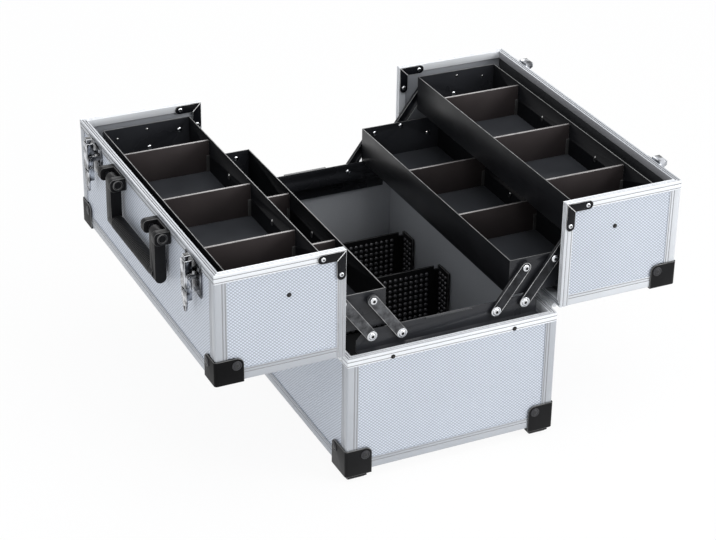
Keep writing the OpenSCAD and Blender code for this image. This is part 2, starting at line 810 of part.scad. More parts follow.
module outer_arms() {
  color([0.12, 0.12, 0.13]) both_ends() arm([outer_pivot, upper_outer_pivot]);
}

module lid_links() {
  color([0.12, 0.12, 0.13]) both_ends() upright(-link_out, link_t) difference() {
    round_bar(outer_pivot, lid_pivot, link_w);
    for (p = [outer_pivot, lid_pivot]) translate(p) circle(pivot_r + pin_gap);
  }
}

// A handle mount: a back and two cheeks with round outer edges, bored for the pin, with a ring
// around each end of the bore.
module handle_mount() {
  end = handle_slot + mount_cheek;
  r = mount_h / 3;
  translate([lid_out, 0, handle_z]) {
    block([0, -end, -mount_h / 2], [mount_back, end, mount_h / 2]);
    both_ends() upright(-end, mount_cheek) difference() {
      union() {
        translate([0, -mount_h / 2]) square([mount_out - r, mount_h]);
        translate([mount_out - r, r - mount_h / 2]) square([r, mount_h - 2 * r]);
        for (z = [-1, 1]) translate([mount_out - r, z * (mount_h / 2 - r)]) circle(r);
      }
      translate([handle_out, 0]) circle(handle_pin_r + pin_gap);
    }
    both_ends() upright(-end - mount_ring_h, mount_ring_h) translate([handle_out, 0]) difference() {
      circle(mount_ring_r);
      circle(mount_ring_r - 2 * mount_ring_h);
    }
  }
}

module handle_mounts() {
  color([0.07, 0.07, 0.08]) for (s = [-1, 1]) translate([0, handle_y + s * handle_span / 2, 0])
    handle_mount();
}

module handle_pins() {
  color([0.7, 0.71, 0.73]) for (s = [-1, 1])
    translate([lid_out + handle_out, handle_y + s * handle_span / 2, handle_z]) rotate([90, 0, 0])
      cylinder(r = handle_pin_r, h = 2 * (handle_slot + mount_cheek), center = true);
}

// The folding handle, hanging against the lid: two arms and the grip between their lower ends.
module handle() {
  r = handle_arm_t / 2;
  color([0.07, 0.07, 0.08])
    translate([lid_out + handle_out, handle_y - handle_slide, handle_z]) {
      both_ends() translate([0, handle_span / 2, 0]) upright(-handle_arm_w / 2, handle_arm_w)
        difference() {
          round_bar([0, 0], [0, r - handle_drop], handle_arm_t);
          circle(handle_pin_r + pin_gap);
        }
      translate([0, 0, grip_d / 2 + grip_lift - handle_drop]) rotate([90, 0, 0])
        cylinder(d = grip_d, h = handle_span, center = true);
    }
}

// The latch plate on the wall, with two ears that carry the lever's pin.
module latch_plate() {
  ear = lever_w / 2 + run_gap;
  top = lid_top - latch_below;
  ear_r = latch_pin_r + latch_t;
  translate([lid_out, 0, 0]) {
    block([0, -latch_w / 2, top - latch_plate_h], [latch_t, latch_w / 2, top]);
    both_ends() upright(-ear - latch_t, latch_t) difference() {
      union() {
        translate([lever_out, lever_z]) circle(ear_r);
        translate([0, lever_z - ear_r]) square([lever_out, 2 * ear_r]);
      }
      translate([lever_out, lever_z]) circle(latch_pin_r + pin_gap);
    }
    for (y = [-1, 1], z = [top - latch_rivet_in, top - latch_plate_h + latch_rivet_in])
      translate([latch_t, y * (latch_w / 2 - latch_rivet_in), z]) rotate([0, 90, 0])
        rivet_head(latch_rivet_r, rivet_h);
  }
}

module latch_plates() {
  color([0.85, 0.86, 0.88]) both_ends() translate([0, latch_y, 0]) latch_plate();
}

// The lever: two cheeks on its own pin, a cross face, and a tongue below that a finger lifts.
module latch_lever() {
  half = lever_w / 2;
  cross_top = hook_offset + hook_face + latch_t + 2 * latch_pin_r;
  cross_low = cross_top + lever_face_h;
  tip = tongue_tip_w / 2;
  translate([lid_out + lever_out, 0, lever_z]) {
    rotate([90, 0, 0]) cylinder(r = latch_pin_r, h = 2 * (half + 2 * latch_t), center = true);
    both_ends() upright(-half, latch_t) difference() {
      union() {
        circle(lever_half_d);
        translate([-lever_half_d, -cross_low]) square([2 * lever_half_d, cross_low]);
      }
      translate([0, -hook_offset]) circle(latch_pin_r + pin_gap);
    }
    block([lever_half_d - latch_t, -half, -cross_low], [lever_half_d, half, -cross_top]);
    translate([lever_half_d - tongue_t, 0, 0]) rotate([90, 0, 90]) linear_extrude(tongue_t)
      difference() {
        union() {
          polygon([[-tongue_w / 2, -cross_low], [tongue_w / 2, -cross_low], [tip, tip - lever_drop],
                   [-tip, tip - lever_drop]]);
          translate([-tongue_w / 2, -cross_low]) square([tongue_w, lever_face_h / 2]);
          translate([0, tip - lever_drop]) circle(tip);
        }
        translate([0, tip - lever_drop]) circle(tip / 2);
      }
  }
}

// The hook: a face on two sides that are shallow past the lever's pin and deep above it, open at
// the top, with a claw inside that reaches over the split edge. The origin is the hook's own pin.
module latch_hook() {
  half = lever_w / 2 - latch_t - run_gap;
  low = -lever_half_d;
  deep = hook_offset + 2 * latch_pin_r;
  top = lever_below + hook_offset - hook_below;
  claw_z = lever_below + hook_offset + 2 * (shut_gap + latch_t) - catch_over + run_gap;
  claw_face = hook_face - latch_t;
  out = hook_face + latch_t;
  translate([lid_out + lever_out, 0, hook_z]) {
    rotate([90, 0, 0]) cylinder(r = latch_pin_r, h = lever_w, center = true);
    both_ends() upright(-half, latch_t) {
      circle(latch_pin_r + latch_t);
      translate([0, low]) square([out, -2 * low]);
      translate([hook_room, low]) square([out - hook_room, top - low]);
      translate([out - hook_side_d, deep]) square([hook_side_d, top - deep]);
    }
    block([hook_face, -half, low], [out, half, top]);
    block([claw_face, -claw_w / 2, top / 2], [hook_face, claw_w / 2, claw_z]);
    block([claw_face - claw_reach, -claw_w / 2, claw_z - latch_t], [hook_face, claw_w / 2, claw_z]);
  }
}

// The catch: a plate on the wall, and a hood on it whose lip stands past the split edge for the
// claw to pull on.
module latch_catch() {
  half = catch_w / 2;
  translate([lid_out, 0, lid_top]) {
    block([0, -catch_plate_w / 2, -run_gap - catch_plate_h], [latch_t, catch_plate_w / 2, -run_gap]);
    block([run_gap, -half, -catch_side], [run_gap + latch_t, half, catch_over]);
    block([run_gap, -half, catch_over - latch_t], [catch_out, half, catch_over]);
    both_ends() upright(-half, latch_t) polygon([[run_gap, -catch_side], [latch_t, -catch_side],
      [catch_out, -catch_side / 3], [catch_out, catch_over], [run_gap, catch_over]]);
    both_ends() translate([latch_t, (catch_plate_w / 2 + half) / 2, -run_gap - catch_plate_h / 2])
      rotate([0, 90, 0]) rivet_head(latch_rivet_r, rivet_h);
  }
}

module latch_catches() {
  color([0.85, 0.86, 0.88]) both_ends() translate([0, latch_y, 0]) latch_catch();
}

standing() base_end_panels();
standing() base_side_panels();
standing() base_floor();
standing() base_rim();
standing() base_corner_profiles();
standing() base_bottom_profiles();
standing() base_corner_caps();
standing() base_rivets();
standing() base_lining();
standing() arm_plates();
standing() studded_dividers();
standing() base_pivots();
standing() base_hinge_leaves();
standing() hinge_pins();
left_side() lid_panels();  // left_lid_panels
left_side() lid_rim();  // left_lid_rim
left_side() lid_profiles();  // left_lid_profiles
left_side() lid_caps();  // left_lid_caps
left_side() lid_brackets();  // left_lid_brackets
left_side() lid_rivets();  // left_lid_rivets
left_side() lid_lining();  // left_lid_lining
left_side() lid_hinge_leaf();  // left_lid_hinge_leaf
right_side() lid_panels();  // right_lid_panels
right_side() lid_rim();  // right_lid_rim
right_side() lid_profiles();  // right_lid_profiles
right_side() lid_caps();  // right_lid_caps
right_side() lid_brackets();  // right_lid_brackets
right_side() lid_rivets();  // right_lid_rivets
right_side() lid_lining();  // right_lid_lining
right_side() lid_hinge_leaf();  // right_lid_hinge_leaf
left_side() upper_tray();  // left_upper_tray
left_side() lower_tray();  // left_lower_tray
left_side() upper_dividers();  // left_upper_dividers
left_side() lower_dividers();  // left_lower_dividers
left_side() upper_pivots();  // left_upper_pivots
left_side() lower_pivots();  // left_lower_pivots
left_side() inner_arms();  // left_inner_arms
left_side() long_arms();  // left_long_arms
left_side() outer_arms();  // left_outer_arms
left_side() lid_links();  // left_lid_links
right_side() upper_tray();  // right_upper_tray
right_side() lower_tray();  // right_lower_tray
right_side() upper_dividers();  // right_upper_dividers
right_side() lower_dividers();  // right_lower_dividers
right_side() upper_pivots();  // right_upper_pivots
right_side() lower_pivots();  // right_lower_pivots
right_side() inner_arms();  // right_inner_arms
right_side() long_arms();  // right_long_arms
right_side() outer_arms();  // right_outer_arms
right_side() lid_links();  // right_lid_links
left_side() handle_mounts();
left_side() handle_pins();
left_side() handle();
left_side() latch_plates();
left_side() translate([0, -latch_y, 0]) latch_lever();  // front_latch_lever
left_side() translate([0, latch_y, 0]) latch_lever();  // rear_latch_lever
left_side() translate([0, -latch_y, 0]) latch_hook();  // front_latch_hook
left_side() translate([0, latch_y, 0]) latch_hook();  // rear_latch_hook
right_side() latch_catches();
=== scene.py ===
import bpy
import json
import bmesh
from math import cos, sin, pi, radians
from mathutils import Matrix, Vector


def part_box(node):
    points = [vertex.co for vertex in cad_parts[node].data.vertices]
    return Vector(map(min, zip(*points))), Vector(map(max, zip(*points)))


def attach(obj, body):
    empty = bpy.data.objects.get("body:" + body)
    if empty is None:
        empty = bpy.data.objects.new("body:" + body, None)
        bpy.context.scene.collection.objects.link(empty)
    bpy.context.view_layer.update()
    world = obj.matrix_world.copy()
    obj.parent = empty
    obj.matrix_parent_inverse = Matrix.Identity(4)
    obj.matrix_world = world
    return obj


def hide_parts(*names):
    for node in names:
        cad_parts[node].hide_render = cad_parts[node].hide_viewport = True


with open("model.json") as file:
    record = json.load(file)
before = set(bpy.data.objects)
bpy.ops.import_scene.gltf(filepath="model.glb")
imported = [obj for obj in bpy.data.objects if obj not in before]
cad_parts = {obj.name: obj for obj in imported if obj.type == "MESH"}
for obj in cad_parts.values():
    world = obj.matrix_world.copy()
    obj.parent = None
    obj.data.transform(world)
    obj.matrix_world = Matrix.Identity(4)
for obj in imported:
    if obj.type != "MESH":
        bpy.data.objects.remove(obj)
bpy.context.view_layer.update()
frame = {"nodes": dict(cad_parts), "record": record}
bpy.ops.object.select_all(action="DESELECT")
record = frame["record"]
nodes = frame["nodes"]
bodyOfNode = {n: body for body, names in record["behaviour"]["bodies"].items() for n in names}
slotOfNode = {part["node"]: part["material_slot"] for part in record["subparts"]}
mm = 0.001
facing, square = 0.9, 0.99      # a normal this far along an axis faces it, or faces it squarely


# the case seen as in the photograph: angles in degrees, focal length and centre in its pixels
viewpoint = dict(azimuth=-26.83, elevation=28.24, roll=1.50, focal=2099.3, centreX=400, imageWidth=716,
                 sensor=36, rimCentre=(-34.88, -20.26, 2627.3), farthest=20)
rimLow, rimHigh = (Vector(v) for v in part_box("base_rim"))
rimMiddle = Vector(((rimLow.x + rimHigh.x) / 2, 0, rimHigh.z))


def addCamera():
    v = viewpoint
    az, el, roll = (radians(v[k]) for k in ("azimuth", "elevation", "roll"))
    back = Vector((sin(az) * cos(el), -cos(az) * cos(el), sin(el)))
    right = (-back).cross(Vector((0, 0, 1))).normalized()
    up = right.cross(-back)
    tiltedRight = cos(roll) * right + sin(roll) * up
    tiltedUp = cos(roll) * up - sin(roll) * right
    x, y, depth = (c * mm for c in v["rimCentre"])
    place = rimMiddle - x * tiltedRight + y * tiltedUp + depth * back
    bpy.ops.object.camera_add()
    cam = bpy.context.object
    cam.matrix_world = Matrix((tiltedRight, tiltedUp, back)).transposed().to_4x4()
    cam.location = place
    cam.data.sensor_width = v["sensor"]
    cam.data.lens = v["focal"] / v["imageWidth"] * v["sensor"]
    cam.data.shift_x = 0.5 - v["centreX"] / v["imageWidth"]
    cam.data.clip_end = v["farthest"]
    bpy.context.scene.camera = cam


addCamera()
print("camera placed")


# shader maths: a value that adds Math nodes as it is used
class Value:
    def __init__(self, graph, out):
        self.graph = graph
        self.out = out

    def math(self, operation, *others):
        return self.graph.node("Math", dict(operation=operation), [self, *others])

    def __add__(self, other):
        return self.math("ADD", other)

    def __sub__(self, other):
        return self.math("SUBTRACT", other)

    def __mul__(self, other):
        return self.math("MULTIPLY", other)

    def __rsub__(self, other):
        return self.graph.node("Math", dict(operation="SUBTRACT"), [other, self])

    def __gt__(self, other):
        return self.math("GREATER_THAN", other)

    __radd__ = __add__
    __rmul__ = __mul__


# the nodes of a new material, or of the world that is given
class Graph:
    def __init__(self, name, world=None):
        self.owner = world or bpy.data.materials.new(name)
        self.owner.use_nodes = True
        self.tree = self.owner.node_tree
        self.shader = self.tree.nodes["Background" if world else "Principled BSDF"]

    def node(self, kind, settings=None, sockets=(), out=0):
        n = self.tree.nodes.new("ShaderNode" + kind)
        for key, value in (settings or {}).items():
            if key == "stops":
                ramp = n.color_ramp.elements
                while len(ramp) < len(value):
                    ramp.new(0.5)
                for stop, (place, level) in zip(ramp, value):
                    stop.position = place
                    stop.color = (level, level, level, 1)
            else:
                setattr(n, key, value)
        pairs = sockets.items() if isinstance(sockets, dict) else enumerate(sockets)
        for key, value in pairs:
            self.feed(n.inputs[key], value)
        return Value(self, n.outputs[out])

    def feed(self, socket, value):
        if isinstance(value, Value):
            self.tree.links.new(value.out, socket)
        else:
            socket.default_value = value

    def coords(self):
        return self.node("TexCoord", out=3)

    def axes(self, vector):
        xyz = self.node("SeparateXYZ", sockets=[vector])
        return [Value(self, o) for o in xyz.out.node.outputs]

    def noise(self, scale, detail=3, stretch=(1, 1, 1), rough=0.5):
        spot = self.coords()
        if stretch != (1, 1, 1):
            spot = self.node("Mapping", sockets={"Vector": spot, "Scale": stretch})
        return self.node("TexNoise", sockets={"Vector": spot, "Scale": scale, "Detail": detail,
                                              "Roughness": rough})

    def ramp(self, value, low, high, dark=0.0, light=1.0):
        return self.node("ValToRGB", dict(stops=[(low, dark), (high, light)]), [value])

    def mixColour(self, factor, a, b):
        return self.node("Mix", dict(data_type="RGBA"), {0: factor, 6: a, 7: b}, out=2)

    def finish(self, **inputs):
        for name, value in inputs.items():
            if name == "bump":
                height, depth = value
                value = self.node("Bump", sockets={"Distance": depth, "Height": height})
                name = "Normal"
            elif name == "gloss":
                name = "Specular IOR Level"
            else:
                name = name[0].upper() + "".join(" " + c if c.isupper() else c for c in name[1:])
            self.feed(self.shader.inputs[name], value)
        return self.owner


def tint(r, g, b):
    return (r, g, b, 1)


def grey(level, blue=1.0):
    return tint(level, level, level * blue)


# sheet embossed with slanting diamonds, where two sets of rows cross: rows a metre across and along. The
# raised tops are painted pale and the hollows darker, a painted highlight and painted shade on top of the
# bump
def embossedSheet():
    look = dict(one=(235, 260), two=(165, -240), raised=0.14 * mm, pale=tint(0.68, 0.725, 0.80),
                deep=tint(0.33, 0.355, 0.41))
    g = Graph("embossedSheet")
    x, y, z = g.axes(g.coords())
    nx, ny, nz = (n.math("ABSOLUTE") for n in g.axes(g.node("TexCoord", out=1)))
    side, flat = nx > 0.5, nz > 0.5
    across = x + side * (y - x)
    along = z + flat * (y - z)
    one, two = ((across * (pi * a) + along * (pi * b)).math("SINE").math("ABSOLUTE")
                for a, b in (look["one"], look["two"]))
    diamond = g.ramp(one * two, 0.08, 0.62)
    cloud = g.noise(7, 2)
    # painted highlight on the diamonds and painted shade in their hollows, with some random tone
    colour = g.mixColour(diamond * 0.85 + cloud * 0.15, look["deep"], look["pale"])
    return g.finish(baseColor=colour, metallic=0.25, roughness=g.ramp(cloud, 0.3, 0.7, 0.40, 0.50),
                    bump=(diamond, look["raised"]))


# aluminium drawn along its length, under a satin finish
def satinMetal(name, dark, pale, metallic, low, high):
    g = Graph(name)
    cloud = g.noise(11, 3)
    drawn = g.noise(260, 2, (1, 1, 0.02))
    return g.finish(baseColor=g.mixColour(cloud, dark, pale), metallic=metallic,
                    roughness=g.ramp(cloud, 0.3, 0.7, low, high), bump=(drawn, 0.008 * mm))


def mouldedPlastic(name, level, low, high, gloss=0.3):
    g = Graph(name)
    fine = g.noise(1400, 2)
    cloud = g.noise(30, 4)
    colour = g.mixColour(cloud, grey(level * 0.6, 1.1), grey(level * 1.4, 1.1))
    return g.finish(baseColor=colour, roughness=g.ramp(cloud, 0.25, 0.75, low, high), gloss=gloss,
                    bump=(fine, 0.03 * mm))


def enamel(name, dark, pale, gloss=0.35, low=0.30, high=0.42):
    g = Graph(name)
    cloud = g.noise(18, 4)
    peel = g.noise(420, 2)
    return g.finish(baseColor=g.mixColour(cloud, dark, pale), gloss=gloss,
                    roughness=g.ramp(cloud, 0.3, 0.7, low, high), bump=(peel, 0.02 * mm))


# a dark colour with paler metal in patches: on edges and top faces this is a painted highlight, on the clips
# it is their own worn steel
def highlightAndWornSteel(name, dark, bare, low=0.35, high=0.6):
    g = Graph(name)
    brightPatches = g.ramp(g.noise(70, 3), low, high, 0.25, 1.0)
    return g.finish(baseColor=g.mixColour(brightPatches, dark, bare), metallic=brightPatches * 0.5, roughness=0.36,
                    bump=(g.noise(500, 2), 0.01 * mm))


def liningSheet(name, dark, pale):
    g = Graph(name)
    weave = g.noise(700, 3)
    cloud = g.noise(9, 3)
    colour = g.mixColour(cloud * 0.6 + weave * 0.4, dark, pale)
    return g.finish(baseColor=colour, roughness=g.ramp(cloud, 0.3, 0.7, 0.45, 0.6), gloss=0.4,
                    bump=(weave, 0.04 * mm))


def bareMetal(name, dark, pale, low, high):
    g = Graph(name)
    cloud = g.noise(60, 3)
    return g.finish(baseColor=g.mixColour(cloud, dark, pale), metallic=1.0,
                    roughness=g.ramp(cloud, 0.3, 0.7, low, high), bump=(g.noise(500, 2), 0.006 * mm))


# polished plate with dark and bright patches painted into its colour: painted reflections of a studio
def reflectionPaintedPlate(name, dark, pale):
    g = Graph(name)
    paintedReflection = g.ramp(g.noise(95, 2), 0.40, 0.62)
    return g.finish(baseColor=g.mixColour(paintedReflection, dark, pale), metallic=1.0,
                    roughness=g.ramp(paintedReflection, 0.0, 1.0, 0.22, 0.12), bump=(g.noise(300, 2), 0.01 * mm))


# steel arm under thin enamel, with a painted sheen mottled over it
def sheenMottledArm(name, dark, pale, gloss):
    g = Graph(name)
    cloud = g.ramp(g.noise(85, 4, rough=0.6), 0.38, 0.66)
    return g.finish(baseColor=g.mixColour(cloud, dark, pale), gloss=gloss,
                    roughness=g.ramp(cloud, 0.0, 1.0, 0.42, 0.28), bump=(g.noise(420, 2), 0.02 * mm))


# the finish of each material slot of the record
finishes = dict(
    embossed_panel=embossedSheet(),
    # the base's lining is paler than the lids' lining: partly its own grey, partly painted light falling into
    # the base
    lining=liningSheet("litBaseLining", tint(0.42, 0.433, 0.46), tint(0.56, 0.575, 0.605)),
    profile=satinMetal("profileMetal", tint(0.40, 0.418, 0.45), tint(0.50, 0.52, 0.55), 0.3, 0.30, 0.42),
    black_plastic=mouldedPlastic("mouldedPlastic", 0.007, 0.32, 0.48, 0.13),
    studded_plastic=mouldedPlastic("studdedPlastic", 0.006, 0.38, 0.52, 0.2),
    black_steel=enamel("blackSteel", tint(0.0045, 0.0048, 0.0058), tint(0.011, 0.0115, 0.0135), 0.22),
    divider_plate=enamel("dividerEnamel", tint(0.028, 0.023, 0.023), tint(0.054, 0.045, 0.045), 0.2),
    chrome=bareMetal("brightNickel", tint(0.60, 0.62, 0.65), tint(0.80, 0.81, 0.83), 0.08, 0.18),
    dark_steel=enamel("darkSteel", tint(0.005, 0.0053, 0.0065), tint(0.013, 0.014, 0.017), 0.28, 0.2, 0.3),
    dark_rivet=bareMetal("darkRivet", grey(0.012), grey(0.04), 0.28, 0.4),
    hinge_steel=satinMetal("hingeSteel", tint(0.70, 0.715, 0.74), tint(0.82, 0.83, 0.85), 0.3, 0.22, 0.34))

# frame: bright rims, duller profiles, a paler lit copy of the profiles (painted light), and painted shade
# drawn along the grooves
rimMetal = satinMetal("rimMetal", tint(0.78, 0.80, 0.83), tint(0.88, 0.895, 0.92), 0.2, 0.26, 0.36)
# a paler lit copy of the profile for the right lid: painted light
litProfile = satinMetal("litProfile", tint(0.58, 0.60, 0.63), tint(0.68, 0.70, 0.73), 0.25, 0.30, 0.42)
# painted shade for the grooves, darkest on the lids' long bars
longGrooveShade = satinMetal("longGrooveShade", grey(0.07, 1.05), grey(0.14, 1.05), 0.2, 0.4, 0.5)
profileGrooveShade = satinMetal("profileGrooveShade", grey(0.27, 1.05), grey(0.37, 1.05), 0.2, 0.4, 0.5)
seamBand = satinMetal("seamBand", tint(0.37, 0.385, 0.41), tint(0.46, 0.475, 0.50), 0.3, 0.35, 0.45)
darkLining = liningSheet("darkLining", tint(0.014, 0.0147, 0.0165), tint(0.030, 0.031, 0.034))
lidLining = liningSheet("lidLining", tint(0.20, 0.208, 0.226), tint(0.29, 0.30, 0.322))

# latches, arms and brackets
paintedReflectionSteel = reflectionPaintedPlate("reflectionPaintedPlate", tint(0.05, 0.053, 0.06), tint(0.62, 0.64, 0.68))
dullPaintedReflection = reflectionPaintedPlate("dullPaintedReflection", tint(0.03, 0.032, 0.037), tint(0.24, 0.25, 0.27))
# the left arms take a paler lit copy of the arm enamel, painted light; the right arms and the links the
# darker one
armPale = sheenMottledArm("armPale", tint(0.014, 0.0145, 0.017), tint(0.105, 0.108, 0.115), 0.4)
armDark = sheenMottledArm("armDark", tint(0.004, 0.0043, 0.0055), tint(0.022, 0.023, 0.027), 0.18)
# painted highlight for the creases on the brackets
armEdge = highlightAndWornSteel("armEdge", grey(0.22), grey(0.85), 0.25, 0.45)
# painted highlight for edges: brighter for the left arms, dimmer for the right arms and the brackets,
# brightest for the links
litArmHighlight = highlightAndWornSteel("litArmHighlight", grey(0.05), grey(0.42), 0.38, 0.62)
dimEdgeHighlight = highlightAndWornSteel("dimEdgeHighlight", grey(0.08), grey(0.62), 0.34, 0.58)
linkEdge = highlightAndWornSteel("linkEdge", grey(0.45), grey(0.95), 0.3, 0.55)
bracketSteel = enamel("bracketSteel", tint(0.0028, 0.003, 0.0042), tint(0.008, 0.0085, 0.011), 0.15,
                      0.22, 0.32)
# black steel painted paler, a painted sheen: the arm plates and the trays' end faces
sheenPaintedSteel = enamel("sheenPaintedSteel", tint(0.011, 0.0115, 0.0135), tint(0.034, 0.0355, 0.041), 0.3, 0.24, 0.36)

# trays, dividers and what lies inside
# painted shade for the inner faces of the trays' side walls
trayInnerShade = enamel("trayInnerShade", tint(0.0025, 0.0027, 0.0034), tint(0.0065, 0.0068, 0.008), 0.10, 0.38, 0.5)
trayFloor = enamel("trayFloor", tint(0.022, 0.0235, 0.027), tint(0.050, 0.053, 0.060), 0.25)
# painted highlight on sheet edges: the trays' eased edges and top lips, the arm plates, the studded dividers
trayEdge = highlightAndWornSteel("trayEdge", grey(0.03), grey(0.17))
# painted highlight along the top edges of the tray dividers
dividerTopHighlight = highlightAndWornSteel("dividerTopHighlight", tint(0.13, 0.122, 0.12), tint(0.29, 0.277, 0.275), 0.25, 0.55)
clipSteel = highlightAndWornSteel("clipSteel", grey(0.02), grey(0.075))
blindSteel = bareMetal("blindSteel", grey(0.14), grey(0.40), 0.2, 0.3)
lugSteel = bareMetal("lugSteel", grey(0.09), grey(0.34), 0.22, 0.34)
# painted shade for bores and for the mouths of the latch channels
recessShade = enamel("rivetRecess", grey(0.010), grey(0.030))

# plastics
floorMat = mouldedPlastic("floorMat", 0.010, 0.45, 0.6, 0.15)
# a darker copy for the left lid's caps: painted shade
lidCap = mouldedPlastic("lidCap", 0.0045, 0.34, 0.5, 0.07)
bossPlastic = mouldedPlastic("bossPlastic", 0.034, 0.3, 0.42, 0.3)
# the studs much paler than their plastic: painted highlight
studHighlight = mouldedPlastic("studHighlight", 0.055, 0.26, 0.38, 0.7)
# painted highlight for the eased edges of the black plastic
plasticHighlight = highlightAndWornSteel("plasticHighlight", grey(0.015), grey(0.13), 0.35, 0.6)
print("materials made")


def deselect():
    bpy.ops.object.select_all(action="DESELECT")


def activate(piece):
    deselect()
    piece.select_set(True)
    bpy.context.view_layer.objects.active = piece


# opens a piece in edit mode with all of it selected, or none
def editAll(piece, action="SELECT"):
    activate(piece)
    bpy.ops.object.mode_set(mode="EDIT")
    bpy.ops.mesh.select_all(action=action)


def endEdit():
    bpy.ops.object.mode_set(mode="OBJECT")


def applyModifier(piece, kind, **settings):
    activate(piece)
    m = piece.modifiers.new(kind.lower(), kind)
    for key, value in settings.items():
        setattr(m, key, value)
    bpy.ops.object.modifier_apply(modifier=m.name)


def smooth(piece, angle=40):
    activate(piece)
    bpy.ops.object.shade_smooth_by_angle(angle=radians(angle))


# gives a piece its finish and its body, and hides the CAD nodes it stands for
def fit(piece, body, slot, finish, *replaced):
    if len(piece.data.materials) == 0:
        piece.data.materials.append(finish)
    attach(piece, body)
    if replaced:
        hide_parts(*replaced)
    return piece


# the sharp outer edges of a mesh are the ones that get eased
def weighOuterEdges(mesh, least=35):
    shape = bmesh.new()
    shape.from_mesh(mesh)
    weight = shape.edges.layers.float.new("bevel_weight_edge")
    for edge in shape.edges:
        if len(edge.link_faces) == 2 and edge.calc_face_angle_signed(0) > radians(least):
            edge[weight] = 1
    shape.to_mesh(mesh)
    shape.free()


# faces that lie one groove's depth under another that faces the same way: these get painted shade
def markGrooves(mesh, index, depth=0.4, slack=0.03):
    planes = {}
    flat = [f for f in mesh.polygons if max(abs(c) for c in f.normal) > 0.999]
    for face in flat:
        way = tuple(round(c) for c in face.normal)
        planes.setdefault(way, set()).add(round(face.center.dot(face.normal) / mm, 2))
    for face in flat:
        way = tuple(round(c) for c in face.normal)
        outer = face.center.dot(face.normal) / mm + depth
        if any(abs(outer - p) < slack for p in planes[way]):
            face.material_index = index


# copies of CAD shapes with their outer edges eased, so that they catch the light; a second finish, when
# given, paints a highlight on the eased edges, and a third paints shade in the grooves
def easedCopy(node, width, segments=2, finish=None, edgeHighlight=None, groove=None):
    piece = bpy.data.objects.new(node + "_eased", nodes[node].data.copy())
    bpy.context.collection.objects.link(piece)
    editAll(piece)
    bpy.ops.mesh.remove_doubles(threshold=0.001 * mm)
    bpy.ops.mesh.dissolve_limited(angle_limit=radians(1))
    endEdit()
    mesh = piece.data
    mesh.materials.clear()
    mesh.materials.append(finish or finishes[slotOfNode[node]])
    if edgeHighlight:
        mesh.materials.append(edgeHighlight)
    if groove:
        mesh.materials.append(groove)
        markGrooves(mesh, len(mesh.materials) - 1)
    weighOuterEdges(mesh)
    applyModifier(piece, "BEVEL", width=width * mm, segments=segments, limit_method="WEIGHT",
                  material=1 if edgeHighlight else -1)
    smooth(piece)
    return fit(piece, bodyOfNode[node], slotOfNode[node], None, node)


# another finish for the faces of one material that a test picks by their middle and their normal
def finishFaces(piece, finish, picks, among=0):
    mesh = piece.data
    mesh.materials.append(finish)
    for face in mesh.polygons:
        if face.material_index == among and picks(face.center, face.normal):
            face.material_index = len(mesh.materials) - 1


# the box of every separate solid of a node, as (lowest, highest) corners
def solidsOf(node):
    mesh = nodes[node].data
    places, place = {}, []
    for v in mesh.vertices:
        place.append(places.setdefault(tuple(round(c / mm, 2) for c in v.co), len(places)))
    leader = list(range(len(places)))

    def find(i):
        while leader[i] != i:
            leader[i] = leader[leader[i]]
            i = leader[i]
        return i

    for edge in mesh.edges:
        a, b = (find(place[i]) for i in edge.vertices)
        leader[a] = b
    groups = {}
    for v in mesh.vertices:
        groups.setdefault(find(place[v.index]), []).append(v.co)
    return [(Vector([min(c[i] for c in group) for i in range(3)]),
             Vector([max(c[i] for c in group) for i in range(3)])) for group in groups.values()]


for name, node in nodes.items():
    node.data.materials.clear()
    node.data.materials.append(finishes[slotOfNode[name]])

# a tray's faces are told apart by how far in from its box they lie, in mm
trayParts = dict(ease=0.3, lip=0.1, floor=2.0, wall=1.3, end=1.5)
clip = dict(bottom=1.6, top=24, width=6, reach=2.6)        # holds a divider: its place up, in and along


def dressTray(trayName, platesName):
    v = trayParts
    low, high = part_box(trayName)
    places = [(a.y + b.y) / 2 for a, b in solidsOf(platesName)]

    def fromSide(c):
        return min(c.x - low.x, high.x - c.x) / mm

    def fromEnd(c):
        return min(c.y - low.y, high.y - c.y) / mm

    def inClip(c, n):
        up, along = (c.z - low.z) / mm, min(abs(c.y - place) for place in places) / mm
        return (clip["bottom"] < up < clip["top"] and along < clip["reach"]
                and v["wall"] < fromSide(c) < clip["width"])

    tray = easedCopy(trayName, v["ease"], edgeHighlight=trayEdge)
    # painted highlight on the tray's top lip
    finishFaces(tray, trayEdge, lambda c, n: n.z > facing and c.z > high.z - v["lip"] * mm)
    # the tray's end faces are a paler copy: painted light
    finishFaces(tray, sheenPaintedSteel, lambda c, n: abs(n.y) > facing and fromEnd(c) < v["end"])
    finishFaces(tray, trayFloor, lambda c, n: n.z > facing and c.z < low.z + v["floor"] * mm)
    # painted shade on the side walls' inner faces
    finishFaces(tray, trayInnerShade, lambda c, n: abs(n.x) > facing and fromSide(c) < v["wall"]
                and (low.x + high.x - 2 * c.x) * n.x > 0)
    finishFaces(tray, clipSteel, inClip)
    plates = easedCopy(platesName, v["ease"], edgeHighlight=dividerTopHighlight)
    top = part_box(platesName)[1].z
    # painted highlight on the dividers' top faces
    finishFaces(plates, dividerTopHighlight, lambda c, n: n.z > facing and c.z > top - v["lip"] * mm)


for side in ("left", "right"):
    for level in ("upper", "lower"):
        dressTray(f"{side}_{level}_tray", f"{side}_{level}_dividers")
print("trays dressed")

# rims, in mm: long bars have faces this near the middle, outer ones this far off, bands this far down
rimParts = dict(ease=0.25, longBar=150, outerBar=290, band=12)


